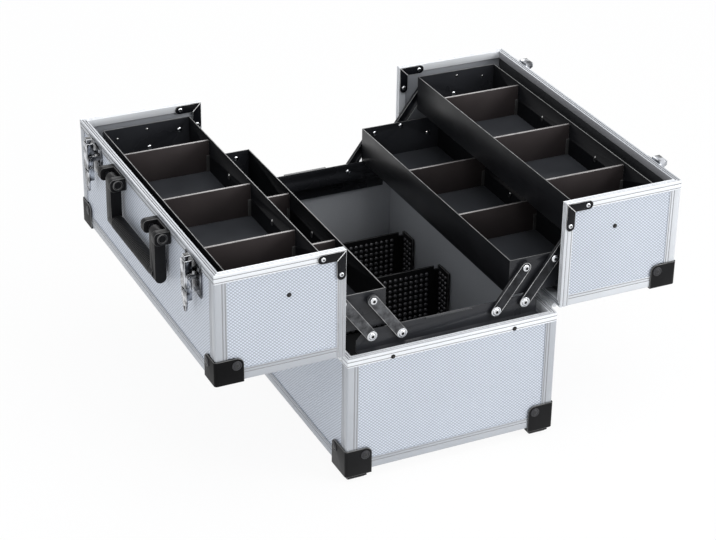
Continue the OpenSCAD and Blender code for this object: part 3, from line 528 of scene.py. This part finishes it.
def dressRim(name):
    v = rimParts
    rim = easedCopy(name, v["ease"], finish=rimMetal, groove=profileGrooveShade)
    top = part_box(name)[1].z

    def onLongBar(c, n):
        return abs(c.y) < v["longBar"] * mm

    if name != "base_rim":
        finishFaces(rim, finishes["profile"], onLongBar)
        finishFaces(rim, longGrooveShade, onLongBar, among=1)
        # painted shade also on the outer bars' faces that face the middle
        finishFaces(rim, profileGrooveShade, lambda c, n: abs(c.x) > v["outerBar"] * mm
                    and c.x * n.x < -facing * abs(c.x), among=2)
    # the right lid's band is the lit copy: painted light
    band = litProfile if name == "right_lid_rim" else seamBand
    finishFaces(rim, band, lambda c, n: abs(n.y) > square and c.z < top - v["band"] * mm)


for name in ("base_rim", "left_lid_rim", "right_lid_rim"):
    dressRim(name)

# how wide the edges of the other shapes are eased, in mm
easing = dict(profile=0.2, pin=0.5, latch=0.35, plate=0.35, stud=0.5, lining=0.3, arm=0.3, bracket=0.35)
moulded = dict(base_corner_caps=1.0, left_lid_caps=0.9, right_lid_caps=0.9, handle=1.6, handle_mounts=1.0)
for name in ("base_corner_profiles", "base_bottom_profiles", "left_lid_profiles", "right_lid_profiles"):
    finish = litProfile if name == "right_lid_profiles" else finishes["profile"]
    easedCopy(name, easing["profile"], finish=finish, groove=profileGrooveShade)
for name, width in moulded.items():
    easedCopy(name, width, 3, finish=lidCap if name == "left_lid_caps" else None, edgeHighlight=plasticHighlight)
# chrome on the pins' eased edges is a painted highlight on dark pins
easedCopy("handle_pins", easing["pin"], finish=finishes["dark_steel"], edgeHighlight=finishes["chrome"])
# latch plates and parts: painted reflections on their faces, painted highlight on their edges
easedCopy("latch_plates", easing["latch"], finish=dullPaintedReflection, edgeHighlight=paintedReflectionSteel)
for name in ("latch_catches", "front_latch_lever", "rear_latch_lever", "front_latch_hook", "rear_latch_hook"):
    piece = easedCopy(name, easing["latch"], finish=paintedReflectionSteel, edgeHighlight=finishes["chrome"])
    if name != "latch_catches":
        finishFaces(piece, recessShade, lambda c, n: n.z > 0.6)       # painted shade in the mouth of the channel
easedCopy("arm_plates", easing["plate"], finish=sheenPaintedSteel, edgeHighlight=trayEdge)
easedCopy("studded_dividers", easing["stud"], edgeHighlight=trayEdge)
lining = easedCopy("base_lining", easing["lining"])
finishFaces(lining, floorMat, lambda c, n: n.z > facing and c.z < 30 * mm)       # the floor faces, darker than the walls
for side in ("left", "right"):
    lining = easedCopy(f"{side}_lid_lining", easing["lining"], finish=lidLining)
    finishFaces(lining, darkLining, lambda c, n: abs(n.x) > facing)


# a border of painted highlight round the faces that a test picks
def addBorder(piece, width, finish, picks):
    mesh = piece.data
    mesh.materials.append(finish)
    editAll(piece, "DESELECT")
    bpy.ops.mesh.select_mode(type="FACE")
    endEdit()
    for face in mesh.polygons:
        face.select = picks(face.center, face.normal)
    bpy.ops.object.mode_set(mode="EDIT")
    bpy.ops.mesh.inset(thickness=width * mm, depth=0, use_boundary=True, use_even_offset=True)
    endEdit()
    for face in mesh.polygons:
        if picks(face.center, face.normal) and not face.select:
            face.material_index = len(mesh.materials) - 1


# each side's arms: finish, width in mm of the border of painted highlight, finish of the border; the left
# side's are paler lit copies, painted light
arms = dict(left=(armPale, 0.55, litArmHighlight), right=(armDark, 0.6, dimEdgeHighlight),
            link=(armDark, 1.2, linkEdge))


def dressArm(node, finish, width, edge):
    arm = easedCopy(node, easing["arm"], finish=finish)
    inner = min(abs(v.co.y) for v in nodes[node].data.vertices) + 0.1 * mm
    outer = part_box(node)[1].y - 0.1 * mm
    # painted highlight on the arm's inward end faces and as a border round its outer face
    finishFaces(arm, edge, lambda c, n: abs(n.y) > square and abs(c.y) < inner and c.y * n.y < 0)
    addBorder(arm, width, edge, lambda c, n: abs(n.y) > square and abs(c.y) > outer and c.y * n.y > 0)


for side in ("left", "right"):
    easedCopy(f"{side}_lid_brackets", easing["bracket"], finish=bracketSteel, edgeHighlight=dimEdgeHighlight)
    for name in ("inner_arms", "long_arms", "outer_arms"):
        dressArm(f"{side}_{name}", *arms[side])
    dressArm(f"{side}_lid_links", *arms["link"])
print("CAD shapes dressed")


# a turned piece: rings of (radius, height) in mm from its foot to its flat end; dark gives its finish and, in
# mm, how far in and how high its bore lies, which gets painted shade
def turned(name, rings, sides=24, dark=None):
    radius, height = rings[0]
    bpy.ops.mesh.primitive_circle_add(vertices=sides, radius=radius * mm, fill_type="NGON",
                                      location=(0, 0, height * mm))
    piece = bpy.context.object
    piece.name = name
    editAll(piece)
    for wider, higher in rings[1:]:
        bpy.ops.mesh.extrude_region_move(TRANSFORM_OT_translate=dict(value=(0, 0, (higher - height) * mm)))
        share = wider / radius
        bpy.ops.transform.resize(value=(share, share, 1), center_override=(0, 0, 0))
        radius, height = wider, higher
    bpy.ops.mesh.select_all(action="SELECT")
    bpy.ops.mesh.normals_make_consistent(inside=False)
    endEdit()
    bpy.ops.object.transform_apply(location=True, rotation=True, scale=True)
    smooth(piece, 50)
    if dark:
        finish, inside, above = dark
        piece.data.materials.append(finish)
        finishFaces(piece, recessShade, lambda c, n: c.xy.length < inside * mm and c.z > above * mm)
    return piece


# the turn and place that bring a piece's x and y axes to two given directions
def placeAlong(a, b, origin=(0, 0, 0)):
    a, b = Vector(a), Vector(b)
    m = Matrix((a, b, a.cross(b))).transposed().to_4x4()
    m.translation = origin
    return m


towards = {"-y": ((1, 0, 0), (0, 0, 1)), "+y": ((1, 0, 0), (0, 0, -1)),
           "-x": ((0, -1, 0), (0, 0, 1)), "+x": ((0, 1, 0), (0, 0, 1))}


def placedCopy(piece, matrix):
    twin = piece.copy()
    twin.data = piece.data.copy()
    bpy.context.collection.objects.link(twin)
    twin.data.transform(matrix)
    return twin


def discard(piece):
    bpy.data.meshes.remove(piece.data)


def joined(name, pieces):
    deselect()
    for piece in pieces:
        piece.select_set(True)
    bpy.context.view_layer.objects.active = pieces[0]
    bpy.ops.object.join()
    whole = bpy.context.object
    whole.name = name
    return whole


# pivot rivets, in mm: small head inside the sheet, collar behind the arm, hollow head on a washer
pivot = dict(innerRadius=3.3, innerHeight=1.1, sheet=1.2, shank=2.5, collar=4.0, headRadius=4.6,
             headHeight=1.8, bore=1.7, washer=6.3, chamfer=0.6, rise=0.3, sunk=0.25, gap=0.3, web=1.5,
             link=1.2, sides=28, longer=4)
armOut = -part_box("left_inner_arms")[0].y / mm
linkOut = -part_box("left_lid_links")[0].y / mm


def pivotRings(inner, outer, washer):
    v = pivot
    shank, collar, bore = v["shank"], v["collar"], v["bore"]
    wall = inner + v["innerHeight"]
    sheet = wall + v["sheet"]
    behindArm = armOut - v["web"] - v["gap"]
    under = armOut + v["gap"]
    inside = v["innerRadius"]
    rings = [(inside * 0.55, inner), (inside * 0.85, inner + 0.35), (inside, wall), (shank, wall),
             (shank, sheet), (collar, sheet), (collar, behindArm), (shank, behindArm)]
    if outer > armOut + v["longer"]:         # this one carries the lid's link as well
        behindLink = linkOut - v["link"] - v["gap"]
        rings += [(shank, under), (collar, under), (collar, behindLink), (shank, behindLink)]
        under = linkOut + v["gap"]
    foot = under
    if washer:
        foot = under + v["rise"]
        rings += [(shank, under - v["sunk"]), (washer, under - v["sunk"]), (washer, under),
                  (washer - v["chamfer"], foot)]
    else:
        rings += [(shank, under)]
    r, h = v["headRadius"], v["headHeight"]
    rings += [(r, foot), (r, under + 0.3 * h), (0.82 * r, under + 0.8 * h), (0.6 * r, under + h),
              (bore + 0.2, under + h), (bore, under + 0.75 * h), (bore * 0.9, under + 0.25 * h)]
    return rings


def addPivots(node, washer):
    kinds, pieces = {}, []
    for low, high in solidsOf(node):
        ends = sorted(abs(y) / mm for y in (low.y, high.y))
        key = tuple(round(e, 1) for e in ends)
        if key not in kinds:
            kinds[key] = turned("pivotPattern", pivotRings(ends[0], ends[1], washer), pivot["sides"],
                                (finishes["chrome"], pivot["bore"] + 0.5, ends[1] - 1.5))
        way = towards["-y" if low.y < 0 else "+y"]
        middle = (low + high) / 2
        pieces.append(placedCopy(kinds[key], placeAlong(*way, (middle.x, 0, middle.z))))
    for pattern in kinds.values():
        discard(pattern)
    fit(joined(node + "_turned", pieces), bodyOfNode[node], "chrome", finishes["chrome"], node)


addPivots("base_pivots", pivot["washer"])
for side in ("left", "right"):
    for level in ("upper", "lower"):
        addPivots(f"{side}_{level}_pivots", 0)
print("pivots made")

# other rivets by kind: hollow bright ones on brackets, dark ones on walls, moulded bosses on caps,
# and the stubs that the links would hang on; rings of (radius, height) in mm
rivetRings = dict(
    bright=[(2.9, 0), (2.9, 0.3), (2.6, 0.75), (1.9, 1.25), (1.2, 1.25), (1.0, 0.6)],
    dark=[(2.8, 0), (2.8, 0.35), (2.2, 1.1), (1.3, 1.3)],
    boss=[(5.8, 0), (5.8, 0.6), (5.3, 1.0), (4.5, 1.0), (4.1, 0.5), (3.5, 0.5), (3.1, 1.0), (1.8, 1.2)],
    stub=[(4.0, 0), (4.0, 3.6), (3.6, 4.0)])
rivetSlots = dict(bright="chrome", dark="dark_rivet", boss="black_plastic", stub="chrome")
rivetPatterns = {kind: turned(kind + "Rivet", rings, 24, (finishes[rivetSlots[kind]], 1.3, 0.5))
                 for kind, rings in rivetRings.items()}
rivetPatterns["boss"].data.materials[0] = bossPlastic

# what tells the kinds apart, in mm: sizes, and places from the middle inside a bracket and outside a wall
rivetLimits = dict(bossWide=8.5, stubThick=2, inner=216.0, wall=225.5, baseHalf=120)


def rivetKind(size, middle):
    v = rivetLimits
    if max(size) / mm > v["bossWide"]:
        return "boss"
    if min(size) / mm > v["stubThick"]:
        return "stub"
    if v["inner"] < abs(middle.y) / mm < v["wall"] or abs(middle.x) / mm < v["baseHalf"]:
        return "dark"
    return "bright"


def addRivets(node):
    pieces = {}
    for low, high in solidsOf(node):
        size, middle = high - low, (low + high) / 2
        kind = rivetKind(size, middle)
        axis = 0 if size.x < size.y - mm and kind == "boss" else 1
        outward = middle[axis] > 0
        if kind == "stub" or (kind == "bright" and abs(middle.y) / mm < rivetLimits["inner"]):
            outward = not outward
        foot = middle.copy()
        foot[axis] = low[axis] if outward else high[axis]
        way = towards[("+" if outward else "-") + "xy"[axis]]
        pieces.setdefault(kind, []).append(placedCopy(rivetPatterns[kind], placeAlong(*way, foot)))
    for i, (kind, group) in enumerate(pieces.items()):
        slot = rivetSlots[kind]
        whole = fit(joined(f"{node}_{kind}", group), bodyOfNode[node], slot, finishes[slot])
        if i == 0:
            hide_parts(node)


for name in ("base_rivets", "left_lid_rivets", "right_lid_rivets"):
    addRivets(name)
for pattern in rivetPatterns.values():
    discard(pattern)

# small blind rivets high on the end walls of the upper trays: in from the tray's sides and down from its top
blind = dict(spots=((57.5, 7.5), (97, 14.5)), radius=2.0, height=0.8, sides=16)


def addBlindRivets(side):
    low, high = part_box(f"{side}_upper_tray")
    r, h = blind["radius"], blind["height"]
    pattern = turned("blindRivet", [(r, 0), (r, 0.3 * h), (0.6 * r, h)], blind["sides"])
    pieces = []
    for across, down in blind["spots"]:
        x = low.x + across * mm if side == "right" else high.x - across * mm
        for end in (-1, 1):
            y = (high.y - pivot["sheet"] * mm) * end
            way = towards["-y" if end > 0 else "+y"]
            pieces.append(placedCopy(pattern, placeAlong(*way, (x, y, high.z - down * mm))))
    discard(pattern)
    fit(joined(f"{side}_blindRivets", pieces), bodyOfNode[f"{side}_upper_tray"], "dark_rivet",
        blindSteel)


# small stamped lugs inside the long walls of the trays, for other divider places
lug = dict(radius=2.3, height=1.5, stretch=1.9, sides=14, upper=dict(places=(-67, 67), up=22.5),
           lower=dict(places=(0,), up=19))


def addLugs(side, level):
    low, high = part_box(f"{side}_{level}_tray")
    r, h, wall = lug["radius"], lug["height"], pivot["sheet"] * mm
    pattern = turned("lug", [(r, 0), (r, 0.35 * h), (0.7 * r, h)], lug["sides"])
    editAll(pattern)
    bpy.ops.transform.resize(value=(1, lug["stretch"], 1), center_override=(0, 0, 0))
    endEdit()
    pieces = []
    z = low.z + lug[level]["up"] * mm
    for y in lug[level]["places"]:
        pieces.append(placedCopy(pattern, placeAlong(*towards["+x"], (low.x + wall, y * mm, z))))
        pieces.append(placedCopy(pattern, placeAlong(*towards["-x"], (high.x - wall, y * mm, z))))
    discard(pattern)
    fit(joined(f"{side}_{level}_lugs", pieces), bodyOfNode[f"{side}_{level}_tray"], "dark_rivet", lugSteel)


for side in ("left", "right"):
    addBlindRivets(side)
    for level in ("upper", "lower"):
        addLugs(side, level)
print("rivets made")

# raised crease across each bracket's corner, in mm, with the shares of its foot that its top keeps; its
# bright finish is a painted highlight
crease = dict(width=1.6, height=0.45, leg=11.5, longer=1.35, top=(0.97, 0.15), lidEnd=225)


def creaseBar():
    v = crease
    bpy.ops.mesh.primitive_cube_add(size=1)
    bar = bpy.context.object
    editAll(bar, "DESELECT")
    endEdit()
    for face in bar.data.polygons:
        face.select = face.normal.z > facing
    bpy.ops.object.mode_set(mode="EDIT")
    bpy.ops.transform.resize(value=(*v["top"], 1), center_override=(0, 0, 0.5))
    endEdit()
    size = (v["leg"] * v["longer"] * mm, v["width"] * mm, 2 * v["height"] * mm, 1)
    bar.data.transform(Matrix.Diagonal(size))
    return bar


def addCreases(side):
    node = f"{side}_lid_brackets"
    inward = -1 if side == "left" else 1
    reach = crease["leg"] * mm
    pattern = creaseBar()
    pieces = []
    for low, high in solidsOf(node):
        seamX = high.x if side == "left" else low.x
        outside = abs((low.y + high.y) / 2) > crease["lidEnd"] * mm
        end = 1 if low.y > 0 else -1
        ends = sorted((abs(low.y), abs(high.y)))
        out = end if outside else -end
        along = Vector((inward, 0, -1)).normalized()
        across = Vector((0, out, 0)).cross(along)
        middle = Vector((seamX + inward * reach / 2, ends[outside] * end, high.z - reach / 2))
        pieces.append(placedCopy(pattern, placeAlong(along, across, middle)))
    discard(pattern)
    fit(joined(f"{side}_bracketCreases", pieces), bodyOfNode[node], "dark_steel", armEdge)


for side in ("left", "right"):
    addCreases(side)

# rows of small studs on both faces of the base dividers and on their bent ends, in mm
studs = dict(pitch=7.6, radius=2.8, height=2.0, margin=4.6, lift=0.5, notch=8.5, flange=27, thickness=2.4)


def addStudField(columns, rows):
    r = studs["radius"]
    bpy.ops.mesh.primitive_uv_sphere_add(segments=8, ring_count=6, radius=r * mm)
    field = bpy.context.object
    editAll(field)
    bpy.ops.mesh.bisect(plane_co=(0, 0, 0), plane_no=(0, 0, 1), clear_inner=True)
    bpy.ops.mesh.select_all(action="SELECT")
    bpy.ops.transform.resize(value=(1, 1, studs["height"] / r), center_override=(0, 0, 0))
    endEdit()
    for count, step in ((columns, (1, 0, 0)), (rows, (0, 1, 0))):
        applyModifier(field, "ARRAY", count=count, use_relative_offset=False, use_constant_offset=True,
                      constant_offset_displace=Vector(step) * studs["pitch"] * mm)
    smooth(field, 60)
    return field


def addStuds():
    v = studs
    pitch, margin, thickness = v["pitch"] * mm, v["margin"] * mm, v["thickness"] * mm
    low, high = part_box("studded_dividers")
    rows = int((high.z - low.z - 2 * margin) / pitch) + 1
    columns = int((high.x - low.x - 2 * margin - v["notch"] * mm) / pitch) + 1
    bentColumns = int((v["flange"] * mm - 2 * margin) / pitch) + 1
    wide, narrow = addStudField(columns, rows), addStudField(bentColumns, rows)
    pieces = []
    for a, b in solidsOf("studded_dividers"):
        back = b.y
        front = back - thickness
        x, z = a.x + margin, a.z + margin + v["lift"] * mm
        pieces.append(placedCopy(wide, placeAlong(*towards["-y"], (x, front, z))))
        pieces.append(placedCopy(wide, placeAlong(*towards["+y"], (x, back, z + (rows - 1) * pitch))))
        pieces.append(placedCopy(narrow, placeAlong(*towards["-x"], (b.x - thickness, front - margin, z))))
    discard(wide)
    discard(narrow)
    fit(joined("dividerStuds", pieces), "base", "studded_plastic", studHighlight)


addStuds()
print("studs made")

# raised rings round the ends of the handle's pins, on the mounts
hub = dict(radius=6.2, inner=4.2, height=1.1, sides=32)


def addHubs():
    r, inner, h = hub["radius"], hub["inner"], hub["height"]
    rings = [(r + 0.4, 0), (r, 0.6 * h), (r - 0.7, h), (inner + 0.5, h), (inner, 0.3 * h)]
    pattern = turned("hubRing", rings, hub["sides"])
    pieces = []
    for low, high in solidsOf("handle_pins"):
        middle = (low + high) / 2
        for y, way in ((low.y, "-y"), (high.y, "+y")):
            pieces.append(placedCopy(pattern, placeAlong(*towards[way], (middle.x, y, middle.z))))
    discard(pattern)
    whole = fit(joined("hubRings", pieces), bodyOfNode["handle_mounts"], "black_plastic",
                finishes["black_plastic"])
    finishFaces(whole, plasticHighlight, lambda c, n: abs(n.y) < 0.95)      # painted highlight on all but the flat faces


addHubs()

# close ribs round the handle's grip
grip = dict(radius=8.45, rise=0.55, pitch=3.4, land=1.5, clear=2.5, arm=16, inset=1.55, sides=32)


def addGripRibs():
    v = grip
    low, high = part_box("handle")
    first = low.y / mm + v["arm"] + v["clear"]
    last = high.y / mm - v["arm"] - v["clear"]
    count = int((last - first) / v["pitch"])
    start = (first + last - count * v["pitch"]) / 2
    slope = (v["pitch"] - v["land"]) / 2
    crest = v["radius"] + v["rise"]
    rings = [(v["radius"], start)]
    for i in range(count):
        y = start + i * v["pitch"]
        rings += [(crest, y + slope), (crest, y + slope + v["land"]), (v["radius"], y + v["pitch"])]
    ribs = turned("gripRibs", rings, v["sides"])
    middle = (low + high) / 2
    place = (middle.x, 0, low.z + (v["radius"] + v["inset"]) * mm)
    ribs.data.transform(placeAlong(*towards["+y"], place))
    fit(ribs, "handle", "black_plastic", finishes["black_plastic"])


addGripRibs()
print("grip ribbed")

# plain pale studio: a white floor and surroundings as the camera sees them, soft lamps in metres and watts
studio = dict(ambient=0.58, ambientTint=(0.94, 0.97, 1.0, 1), floorShare=0.93, floorSize=12, floorLevel=0.88,
              aim=(0, 0, 0.2))
lamps = dict(overhead=dict(place=(0.1, -0.5, 2.2), size=1.6, power=20),
             fromBehind=dict(place=(0.8, 2.4, 1.4), size=1.4, power=12),
             fromLeft=dict(place=(-2.2, -0.7, 1.2), size=1.2, power=9),
             fromRight=dict(place=(1.9, -2.0, 1.3), size=1.2, power=38))


# shows a surface white to the camera and in reflections, for the given share
def mixWhite(g, kind, share, output):
    rays = g.node("LightPath").out.node.outputs
    names = ("Is Camera Ray", "Is Glossy Ray", "Is Transmission Ray")
    camera, glossy, through = (Value(g, rays[name]) for name in names)
    seen = camera.math("MAXIMUM", glossy).math("MAXIMUM", through) * share
    white = g.node(kind, sockets=dict(Color=(1, 1, 1, 1), Strength=1))
    mixed = g.node("MixShader", sockets=[seen, Value(g, g.shader.outputs[0]), white])
    g.feed(g.tree.nodes[output].inputs["Surface"], mixed)


def addWorld():
    world = bpy.data.worlds.new("studio")
    bpy.context.scene.world = world
    g = Graph("studio", world)
    g.finish(color=studio["ambientTint"], strength=studio["ambient"])
    mixWhite(g, "Background", 1.0, "World Output")


def addFloor():
    bpy.ops.mesh.primitive_plane_add(size=studio["floorSize"], location=(0, 0, 0))
    floor = bpy.context.object
    floor.name = "floor"
    g = Graph("paleFloor")
    floor.data.materials.append(g.finish(baseColor=grey(studio["floorLevel"]), roughness=0.8))
    mixWhite(g, "Emission", studio["floorShare"], "Material Output")


def addSoftLight(name, place, size, power):
    bpy.ops.object.light_add(type="AREA", location=place)
    lamp = bpy.context.object
    lamp.name = name
    lamp.data.size = size
    lamp.data.energy = power
    lamp.rotation_euler = (Vector(studio["aim"]) - Vector(place)).to_track_quat("-Z", "Y").to_euler()


addWorld()
addFloor()
for name, lamp in lamps.items():
    addSoftLight(name, **lamp)
bpy.context.scene.view_settings.view_transform = "Standard"
print("stage set")
